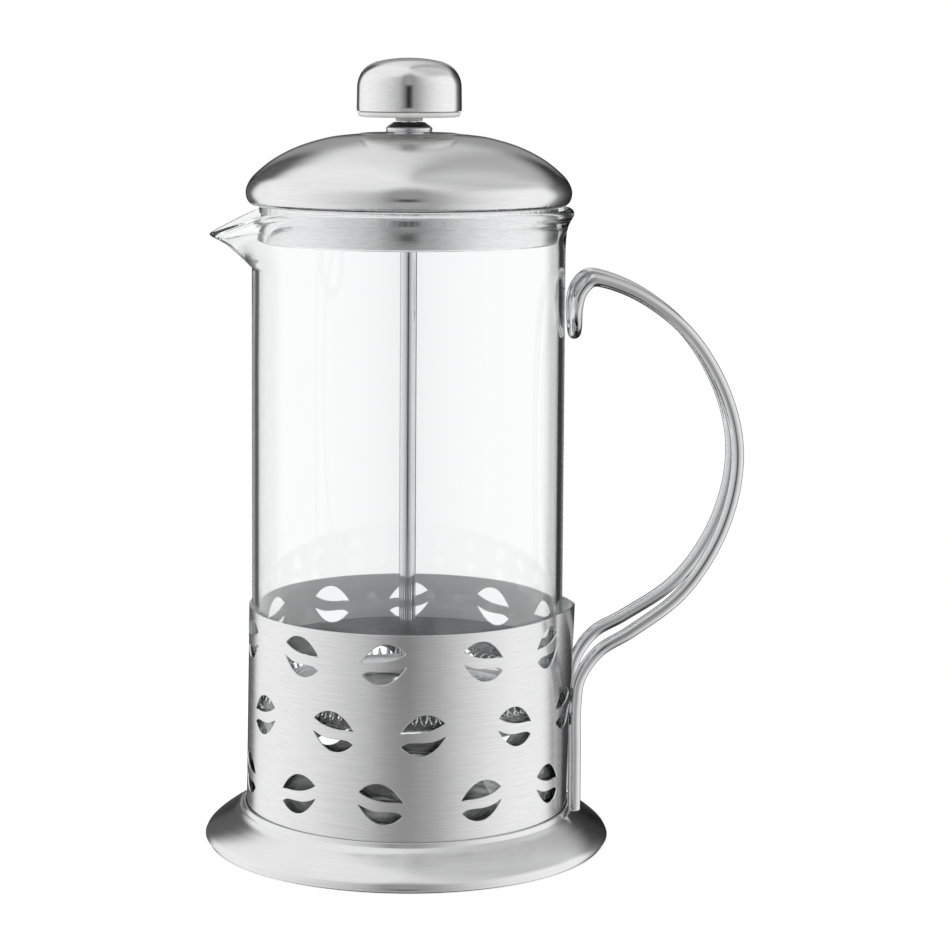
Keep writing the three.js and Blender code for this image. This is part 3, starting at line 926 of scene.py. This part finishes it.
def bean_holes():
    """Every bean half as a loop on the flat sleeve sheet, whose left end is at the pleat."""
    around = 2 * math.pi * SLEEVE.radius
    holes = []
    for height, turn, first_is_mirrored in BEAN_ROWS:
        for i, azimuth in enumerate(BEAN_AZIMUTHS):
            centre_x = (azimuth + turn - 90) % 360 / 360 * around
            mirrored = (i % 2 == 0) == first_is_mirrored
            for loop in bean_halves(mirrored):
                holes.append([(centre_x + x, height + y) for x, y in loop])
    return holes


def sleeve_band():
    """The perforated sleeve: one sheet bent round, its cut edges softened."""
    around = 2 * math.pi * SLEEVE.radius
    columns = 240
    rows = 44
    # The sheet's inner points stay this far from the cut edges.
    keep_off = 0.75
    loops = bean_holes()
    holes = [Hole(loop) for loop in loops]
    inner_points = []
    for column in range(1, columns):
        x = around * column / columns
        for row in range(1, rows):
            y = mix(SLEEVE.bottom, SLEEVE.top, row / rows)
            if not any(hole.holds(x, y, keep_off) for hole in holes):
                inner_points.append((x, y))
    points, faces = sleeve_sheet(around, columns, rows, loops, inner_points)
    make_piece("sleeve_band", points, faces, SLEEVE_STEEL, "frame", "sleeve", 30)


def sleeve_sheet(around, columns, rows, holes, inner_points):
    """Points and faces of the sleeve. Its two side edges meet at the pleat and are joined."""
    edge = 0.22
    low, high = SLEEVE.bottom + edge, SLEEVE.top - edge
    border = [(around * i / columns, low) for i in range(columns)]
    border += [(around, mix(low, high, i / rows)) for i in range(rows)]
    border += [(around * (1 - i / columns), high) for i in range(columns)]
    border += [(0, mix(high, low, i / rows)) for i in range(rows)]
    flat, triangles = flat_faces(border, holes, inner_points, edge)
    points = [sleeve_point(x, y, depth) for depth in (0, SLEEVE_SHEET) for x, y in flat]
    faces = both_sides(triangles, len(flat))
    lips = rounded_lips(edge, SLEEVE_SHEET)
    for loop in holes:
        add_lip(points, faces, [
            [sleeve_point(x, y, depth) for x, y in grown(loop, offset)] for offset, depth in lips
        ], False)
    for level, away in ((SLEEVE.bottom, 1), (SLEEVE.top, -1)):
        add_lip(points, faces, [
            [sleeve_point(around * i / columns, level + away * offset, depth) for i in range(columns)]
            for offset, depth in lips
        ], away > 0)
    return merged(points, faces)


# ------------------------------------------------------------------ handle

def handle():
    """One bent wire: up a leg, round the grip, through the hook and back down."""
    near = [(x, -y, z) for x, y, z in WIRE_LEG]
    far = WIRE_LEG[::-1]
    hook = []
    for angle in HOOK_ANGLES:
        across = HOOK_HALF_WIDTH * math.cos(math.radians(angle))
        up = HOOK_HALF_WIDTH * math.sin(math.radians(angle))
        hook.append((HOOK_X, across, HOOK_BOTTOM + HOOK_HALF_WIDTH + up))
    line = catmull_rom(near + hook + far, 10)
    chamfer = 0.25
    ends = [line[i] + Vector((0, 0, chamfer)) for i in (0, -1)]
    line = [line[0], ends[0]] + line[1:-1] + [ends[1], line[-1]]
    last = len(line) - 1
    points, faces = tube(line, lambda i: WIRE_R - chamfer if i in (0, last) else WIRE_R, 28)
    make_piece("handle_bent_wire", points, faces, WIRE_STEEL, "frame", "handle_wire",
               40)


# ------------------------------------------------------------------ glass

def spout_pull(azimuth):
    """How far the spout moves a point of the rim out and down.

    Each flank leaves the round rim along a straight line, and the two lines meet in a slightly
    rounded tip.
    """
    from_tip = math.hypot(angle_between(azimuth, SPOUT_AZIMUTH), SPOUT_TIP_ANGLE)
    turn = math.radians(max(0, SPOUT_HALF_ANGLE - from_tip))
    along = math.tan(turn) / math.tan(math.radians(SPOUT_HALF_ANGLE - SPOUT_TIP_ANGLE))
    return GLASS_RIM_R / math.cos(turn) - GLASS_RIM_R, SPOUT_DROP * along ** 1.3


def beaker():
    """The glass: rounded bottom, straight wall, flared fire-polished rim and pulled spout."""
    inner = GLASS_R - GLASS_WALL
    floor = GLASS.bottom + 2.4
    wall_foot = 20
    wall_steps = 6
    bead_z = GLASS.top - RIM_BEAD
    bead_r = GLASS_RIM_R - RIM_BEAD
    outside = [(GLASS_R, mix(wall_foot, SPOUT_START, i / wall_steps)) for i in range(wall_steps)]
    outside += curve([
        (GLASS_R, SPOUT_START), (GLASS_R, 182.2), (GLASS_R, 185), (GLASS_R + 0.12, 189.5),
        (GLASS_R + 0.75, 194), (bead_r + RIM_BEAD * 0.93, bead_z - 0.6),
    ], 4)
    bead = arc(bead_r, bead_z, RIM_BEAD, RIM_BEAD, -15, 195, 14)
    inside = curve([
        (bead_r - RIM_BEAD * 0.95, bead_z - 0.5), (inner + 0.75, 193.4), (inner + 0.12, 189),
        (inner, 185), (inner, 182.2), (inner, SPOUT_START),
    ], 4)
    inside += [(inner, mix(SPOUT_START, wall_foot, i / wall_steps)) for i in range(1, wall_steps)]
    outline = [(0, GLASS.bottom + 0.5), (30, GLASS.bottom + 0.5)]
    outline += curve([(36, GLASS.bottom + 0.3), (40, GLASS.bottom), (44.5, GLASS.bottom)], 3)
    outline += arc(GLASS_R - 4, GLASS.bottom + 4, 4, 4, -80, 0, 8)
    outline += outside + bead + inside
    outline += arc(inner - 3, floor + 3, 3, 3, 0, -90, 6)
    outline += [(0, floor)]
    rise = bead_z - SPOUT_START

    def pull_spout(radius, azimuth, height):
        reach, drop = spout_pull(azimuth)
        lift = max(0, (height - SPOUT_START) / rise)
        return radius + reach * lift, height - drop * lift

    glass = turned_piece("beaker_glass", outline, GLASS_MATERIAL, "beaker", "glass_beaker",
                         240, pull_spout, 60)
    # Light passes straight through clear glass, so it throws no dark shadow.
    glass.visible_shadow = False


# ------------------------------------------------------------------ lid

def dome():
    """The pressed lid dome, with its flat crown, turned-in rim and crimped hem."""
    crown = [(5.4, DOME.top), (14.3, DOME.top), (14.9, DOME.top - 0.08), (15.4, DOME.top - 0.3)]
    side = curve([
        crown[-1], (20, 222.2), (25.1, 221.45), (34.5, 218.65), (41.9, 214.9), (46.7, 211.2),
        (49.5, 208.2), (50.8, 204.9), (50.25, 202.1), (48.9, 200.75), (47.3, 200.4),
    ], 7)
    outside = crown + side[1:]
    outline = outside + list(reversed(beside(outside, DOME_SHEET)))
    turned_piece("lid_dome_skin", outline, DOME_STEEL, "lid", "lid_dome", 240)


def skirt():
    """The ring under the dome that plugs into the glass, wrinkled where it was gathered."""
    sheet = 0.6
    flange = SKIRT.top - sheet
    wall = 46.6
    lip = 44.8
    outline = filleted([
        (lip, SKIRT.bottom, 0.2), (wall, SKIRT.bottom, 0.8), (wall, 198.4), (wall, 199.6),
        (wall, flange, 0.5), (SKIRT.radius, flange, 0.2), (SKIRT.radius, SKIRT.top, 0.2),
        (wall - sheet, SKIRT.top, 0.5), (wall - sheet, SKIRT.bottom + sheet, 0.5),
        (lip, SKIRT.bottom + sheet, 0.2),
    ])
    turned_piece("lid_skirt_ring", outline, SKIRT_STEEL, "lid", "lid_skirt", 240)


def collar():
    """The chromed guide collar: cone, rounded band and foot flange, with its shank."""
    base = DOME.top + 0.3
    outline = filleted([
        (4, COLLAR.bottom), (5, COLLAR.bottom, 0.2), (5, base), (7.1, base, 0.25),
        (7.3, base + 0.35, 0.2), (6.9, base + 0.55, 0.1), (7.25, base + 0.8, 0.3), (7.2, 224.5, 0.35),
        (6.5, 225.15, 0.3), (5.6, 225.75, 0.3), (4.85, COLLAR.top, 0.25), (4, COLLAR.top, 0.2),
    ])
    turned_piece("lid_guide_collar", outline, CHROME, "lid", "lid_collar", 120)


def under_lid():
    """The bush, washer and hexagon nut that hold the collar."""
    bush = plain_ring(BUSH, ROD.radius + 0.08, (0.15, 0.2, 0.2, 0.3))
    turned_piece("rod_guide_bush", bush, PLASTIC, "lid", "rod_bush", 64)
    bore = 5.3
    washer = plain_ring(WASHER, bore, (0.1, 0.2, 0.1, 0.1))
    turned_piece("collar_flat_washer", washer, ROD_STEEL, "lid", "collar_washer",
                 96)
    corner = 8.4
    nut = filleted([
        (bore, NUT.bottom + 0.3), (5.6, NUT.bottom, 0.1), (7.2, NUT.bottom, 0.2),
        (corner, NUT.bottom + 0.7), (corner, NUT.top - 0.7), (7.2, NUT.top, 0.2),
        (5.6, NUT.top, 0.1), (bore, NUT.top - 0.3),
    ])

    def hexagonal(radius, azimuth, height):
        from_flat = math.radians((azimuth + 60) % 60 - 30)
        return min(radius, corner * math.cos(math.pi / 6) / math.cos(from_flat)), height

    turned_piece("collar_hex_nut", nut, ROD_STEEL, "lid", "collar_nut", 120,
                 hexagonal, 25)


# ------------------------------------------------------------------ plunger

def rod():
    """The polished rod, with its threaded foot."""
    core, crest, pitch = THREAD_CORE_R, THREAD_CREST_R, THREAD_PITCH
    outline = [(0, ROD.bottom), (core - 0.15, ROD.bottom), (core, ROD.bottom + 0.3)]
    start = ROD.bottom + 0.4
    for i in range(int((THREAD_TOP - start) / pitch)):
        z = start + i * pitch
        outline += [(core, z), (crest, z + pitch * 0.4), (crest, z + pitch * 0.55),
                    (core, z + pitch * 0.95)]
    outline += [(core, THREAD_TOP + 0.1), (core, SHANK_BOTTOM), (ROD.radius - 0.15, SHANK_BOTTOM),
                (ROD.radius, SHANK_BOTTOM + 0.15)]
    low, high, steps = 48, 236, 8
    outline += [(ROD.radius, mix(low, high, i / steps)) for i in range(steps + 1)]
    outline += [(ROD.radius, ROD.top - 0.5), (ROD.radius - 0.5, ROD.top), (0, ROD.top)]
    turned_piece("plunger_polished_rod", outline, ROD_STEEL, "plunger", "plunger_rod",
                 72)


def shoulder():
    """The collar on the rod that the filter is clamped against."""
    bore = ROD.radius + 0.3
    outline = filleted([
        (bore, SHOULDER.bottom, 0.1), (SHOULDER.radius, SHOULDER.bottom, 0.3),
        (SHOULDER.radius, SHOULDER.top - 1, 0.5), (4.6, SHOULDER.top, 0.5), (bore, SHOULDER.top, 0.2),
    ])
    turned_piece("rod_shoulder_collar", outline, ROD_STEEL, "plunger", "rod_shoulder",
                 96)


def pierced_disc(name, radius, holes, thickness, height_at, node):
    """A round steel plate with holes; height_at(radius) is the height of its upper face."""
    edge = 0.1
    outer = circle(0, 0, radius, 180)
    loops = [circle(0, 0, FILTER_BORE, 40)] + holes
    inner_points = []
    for ring in DISH_RINGS:
        if ring < radius - 0.8:
            inner_points += circle(0, 0, ring, 180)
    flat, triangles = flat_faces(grown(outer, -edge), loops, inner_points, edge)

    def place(x, y, depth):
        return (x * MM, y * MM, (height_at(math.hypot(x, y)) - depth) * MM)

    points = [place(x, y, depth) for depth in (0, thickness) for x, y in flat]
    faces = both_sides(triangles, len(flat))
    lips = rounded_lips(edge, thickness)
    for loop in loops:
        rings = [[place(x, y, depth) for x, y in grown(loop, offset)] for offset, depth in lips]
        add_lip(points, faces, rings, False)
    rings = [[place(x, y, depth) for x, y in grown(outer, -offset)] for offset, depth in lips]
    add_lip(points, faces, rings, True)
    points, faces = merged(points, faces)
    make_piece(name, points, faces, ROD_STEEL, "plunger", node, 30)


def hole_ring(count, distance, radius, sides):
    """Round holes spaced evenly round the axis."""
    holes = []
    for i in range(count):
        angle = 2 * math.pi * i / count
        holes.append(circle(distance * math.cos(angle), distance * math.sin(angle), radius, sides))
    return holes


def filter_stack():
    """The spring plate, screen, cross plate and hub."""
    sheet = 0.7
    floor = SPRING_PLATE.bottom + sheet

    def dished(radius):
        part = smoothstep((radius - DISH_START_R) / DISH_WIDTH) ** 1.2
        return floor + (SPRING_PLATE.top - floor) * part

    pierced_disc("filter_spring_plate", SPRING_PLATE.radius,
                 hole_ring(count=10, distance=24, radius=6, sides=36), sheet, dished, "spring_plate")
    pierced_disc("filter_cross_plate", CROSS.radius,
                 hole_ring(count=8, distance=27, radius=9, sides=48), CROSS.top - CROSS.bottom,
                 lambda radius: CROSS.top, "cross_plate")
    screen = plain_ring(SCREEN, FILTER_BORE, (0, 0.15, 0.15, 0))
    turned_piece("filter_woven_screen", screen, WEAVE, "plunger", "mesh_screen",
                 180)
    hub_r = 6.6
    hub = filleted([
        (FILTER_BORE, HUB.bottom, 0.2), (hub_r - 1, HUB.bottom, 0.3), (hub_r, HUB.bottom + 0.9, 0.3),
        (hub_r, 43.1, 0.3), (6, HUB.top, 0.2), (FILTER_BORE, HUB.top, 0.1),
    ])

    def knurled(radius, azimuth, height):
        if radius <= 6.2:
            return radius, height
        return radius - 0.12 * (0.5 + 0.5 * math.cos(math.radians(azimuth * 30))), height

    turned_piece("filter_threaded_hub", hub, ROD_STEEL, "plunger", "filter_hub",
                 240, knurled)


def coil_spring():
    """The coiled wire bent into a ring round the filter."""
    coil = (SPRING.top - SPRING.bottom) / 2 - SPRING_WIRE_R
    centre_r = SPRING.radius - coil - SPRING_WIRE_R
    centre_z = (SPRING.top + SPRING.bottom) / 2
    steps_per_turn = 14
    count = SPRING_TURNS * steps_per_turn

    def on_ring(i, radius, height):
        around = 2 * math.pi * i / count
        return Vector((radius * math.sin(around), -radius * math.cos(around), height))

    line = []
    for i in range(count):
        turn = 2 * math.pi * i / steps_per_turn
        line.append(on_ring(i, centre_r + coil * math.cos(turn), centre_z + coil * math.sin(turn)))

    def outward(i):
        return line[i] - on_ring(i, centre_r, centre_z)

    points, faces = closed_tube(line, SPRING_WIRE_R, 8, outward)
    make_piece("filter_coil_spring", points, faces, ROD_STEEL, "plunger", "filter_spring",
               60)


# ------------------------------------------------------------------ knob

def knob_shell():
    """The brushed knob shell: a faintly domed crown, round shoulders and a straight skirt."""
    edge = SHELL.bottom
    radius = SHELL.radius
    sheet = 1
    shoulder_z = 237
    shoulder_r = 7.3
    shoulder_height = 7.9
    centre_r = radius - shoulder_r - 0.1

    def crown_z(r):
        return SHELL.top - r ** 2 / 85

    outline = [(r, crown_z(r)) for r in (0, 2, 4, 6, 8, 10)]
    outline += arc(centre_r, shoulder_z, shoulder_r, shoulder_height, 72, 0, 16)
    outline += [
        (radius - 0.06, 234.5), (radius - 0.02, 232), (radius, edge + 0.5), (radius - 0.12, edge + 0.1),
        (radius - 0.4, edge), (radius - 0.9, edge + 0.05), (radius - sheet, edge + 0.3),
        (radius - sheet, shoulder_z),
    ]
    outline += arc(centre_r, shoulder_z, shoulder_r - sheet, shoulder_height - sheet, 0, 72, 10)
    outline += [(r, crown_z(r) - sheet) for r in (8, 4, 0)]
    turned_piece("knob_steel_shell", outline, KNOB_STEEL, "knob", "knob_shell", 160)


def knob_core():
    """The white core, with the lip under the shell and the neck, and its threaded insert."""
    edge = SHELL.bottom - 0.3
    body = SHELL.radius - 1.35
    bore = ROD.radius + 0.3
    core = filleted([
        (0, INSERT.top), (10.4, INSERT.top, 1), (13.6, 240, 1), (body, 236.4, 1), (body, edge),
        (15.9, edge, 0.15), (INSERT.radius, 228.8, 0.5), (15.5, 228.05, 0.4), (14.6, 227.9, 0.4),
        (4.7, 227.9, 0.5), (4.2, 227.4, 0.2), (4.2, INSERT.bottom, 0.3), (bore, INSERT.bottom, 0.2),
        (bore, 229.4), (4.7, 229.4), (4.7, 238.9), (0, 238.9),
    ], closed=False)
    turned_piece("knob_white_core", core, PLASTIC, "knob", "knob_insert", 120)
    insert = plain_ring(THREAD_INSERT, bore, (0.2, 0.2, 0.2, 0.2))
    turned_piece("knob_insert_nut", insert, ROD_STEEL, "knob", "knob_thread_insert",
                 64)


# ------------------------------------------------------------------ stage, light and camera

def floor():
    """A pale round table top with a faint contact shadow, which the steel doesn't reflect."""
    top, bottom = -FLOOR_GAP, -FLOOR_THICKNESS
    points, faces = turned([(0, top), (0, bottom), (FLOOR_R, bottom), (FLOOR_R, top)], 96)
    mesh = bpy.data.meshes.new("floor")
    mesh.from_pydata(points, [], faces)
    table = bpy.data.objects.new("floor", mesh)
    bpy.context.scene.collection.objects.link(table)
    material, _, shader = new_material("pale_floor")
    set_inputs(shader, {
        "Base Color": (0.7, 0.7, 0.7, 1), "Roughness": 1, "Specular IOR Level": 0,
        "Emission Color": (1, 1, 1, 1), "Emission Strength": 0.55,
    })
    mesh.materials.append(material)
    table.visible_glossy = False


def patch(z, away, heights, turns, strength):
    """A part of the studio, as its strength where it has come in over its heights and turns."""
    inside = times(smooth_between(z, *heights), smooth_between(away, *turns))
    return times(inside, strength)


def studio_ring(around, away, z, on_steel):
    """The brightness round the horizon.

    Straight behind the press a screen and a gap darken what the steel reflects. The glass
    doesn't see them.
    """
    ring = ramp(around, [((azimuth + 180) / 360, level) for azimuth, level in STUDIO_RING])
    ring = larger(ring, patch(z, away, *TABLE_GLOW))
    screen = times(patch(z, away, *BACK_SCREEN), on_steel)
    ring = times(ring, minus(1.0, screen))
    ring = times(ring, smooth_between(z, *UNDERSIDE_HEIGHTS))
    ring = larger(ring, patch(z, away, *OVER_LENS))
    gap = times(times(smooth_between(away, *BACK_GAP_TURNS), BACK_GAP_SHADE), on_steel)
    ring = times(ring, minus(1.0, gap))
    return larger(ring, patch(z, away, *BACK_WALL))


def studio_light():
    """A white cyclorama that the camera and the glass see, in a studio that the steel reflects.

    Round the horizon, the studio has a narrow dark gap in front, bright panels at the sides and
    dark corners behind. Above them all it is softly bright.
    """
    world = bpy.data.worlds.new("studio")
    bpy.context.scene.world = world
    world.use_nodes = True
    tree = world.node_tree
    direction = tree.nodes.new("ShaderNodeTexCoord")
    x, y, z = split_up(direction.outputs["Generated"])
    turn = math_node("ARCTAN2", x, times(y, -1.0))
    around = plus(math_node("DIVIDE", turn, 2 * math.pi), 0.5)
    away = math_node("ABSOLUTE", turn)
    path = tree.nodes.new("ShaderNodeLightPath")
    on_steel = math_node("LESS_THAN", path.outputs["Transmission Depth"], 0.5)
    ring = studio_ring(around, away, z, on_steel)
    above_start = minus(z, ramp(around, CEILING_START))
    rise = smooth_between(math_node("DIVIDE", above_start, CEILING_BLEND), 0, 1)
    studio = tree.nodes["Background"]
    ceiling = ramp(around, STUDIO_CEILING)
    link(blended(rise, ring, ceiling), studio.inputs["Color"])
    studio.inputs["Strength"].default_value = 1.2

    white = tree.nodes.new("ShaderNodeBackground")
    white.inputs["Color"].default_value = (1, 1, 1, 1)
    bounced = plus(path.outputs["Glossy Depth"], path.outputs["Diffuse Depth"])
    straight = math_node("LESS_THAN", bounced, 0.5)
    through = times(straight, path.outputs["Is Transmission Ray"])
    choice = tree.nodes.new("ShaderNodeMixShader")
    link(larger(path.outputs["Is Camera Ray"], through), choice.inputs[0])
    link(studio.outputs[0], choice.inputs[1])
    link(white.outputs[0], choice.inputs[2])
    link(choice.outputs[0], tree.nodes["World Output"].inputs["Surface"])


def softbox(name, place, width):
    """An area light turned to the press, which isn't itself seen or reflected."""
    target = Vector((0, 0, 0.12))
    lamp = bpy.data.lights.new(name, "AREA")
    lamp.shape = "RECTANGLE"
    lamp.size = width
    lamp.size_y = 0.9
    lamp.energy = 3
    light = bpy.data.objects.new(name, lamp)
    bpy.context.scene.collection.objects.link(light)
    light.location = place
    light.rotation_euler = (target - Vector(place)).to_track_quat("-Z", "Y").to_euler()
    light.visible_camera = False
    light.visible_transmission = False
    light.visible_glossy = False


def camera():
    """A long lens from the front, a little above the lid, tilted down."""
    sensor = 36
    image_height = 951
    focal_pixels = 2760.7
    distance = 0.8595
    height = 0.25
    tilt_down = 5.504
    roll = 0.244
    lens = bpy.data.cameras.new("camera")
    lens.lens = sensor * focal_pixels / image_height
    lens.sensor_width = sensor
    lens.shift_x = 0.0700
    lens.shift_y = -0.1726
    lens.clip_start = 0.01
    lens.clip_end = 50
    viewer = bpy.data.objects.new("camera", lens)
    bpy.context.scene.collection.objects.link(viewer)
    tilt = Matrix.Rotation(math.radians(90 - tilt_down), 4, "X")
    lean = Matrix.Rotation(math.radians(roll), 4, "Z")
    viewer.matrix_world = Matrix.Translation((0, -distance, height)) @ (tilt @ lean)
    bpy.context.scene.camera = viewer


foot_dish()
foot_plate()
glass_seat()
sleeve_band()
handle()
beaker()
dome()
skirt()
collar()
under_lid()
rod()
shoulder()
filter_stack()
coil_spring()
knob_shell()
knob_core()
floor()
studio_light()
softbox("left_softbox", (-0.9, -0.45, 0.55), 0.7)
softbox("right_softbox", (0.9, -0.35, 0.55), 0.6)
camera()

bpy.context.scene.view_settings.view_transform = "Standard"
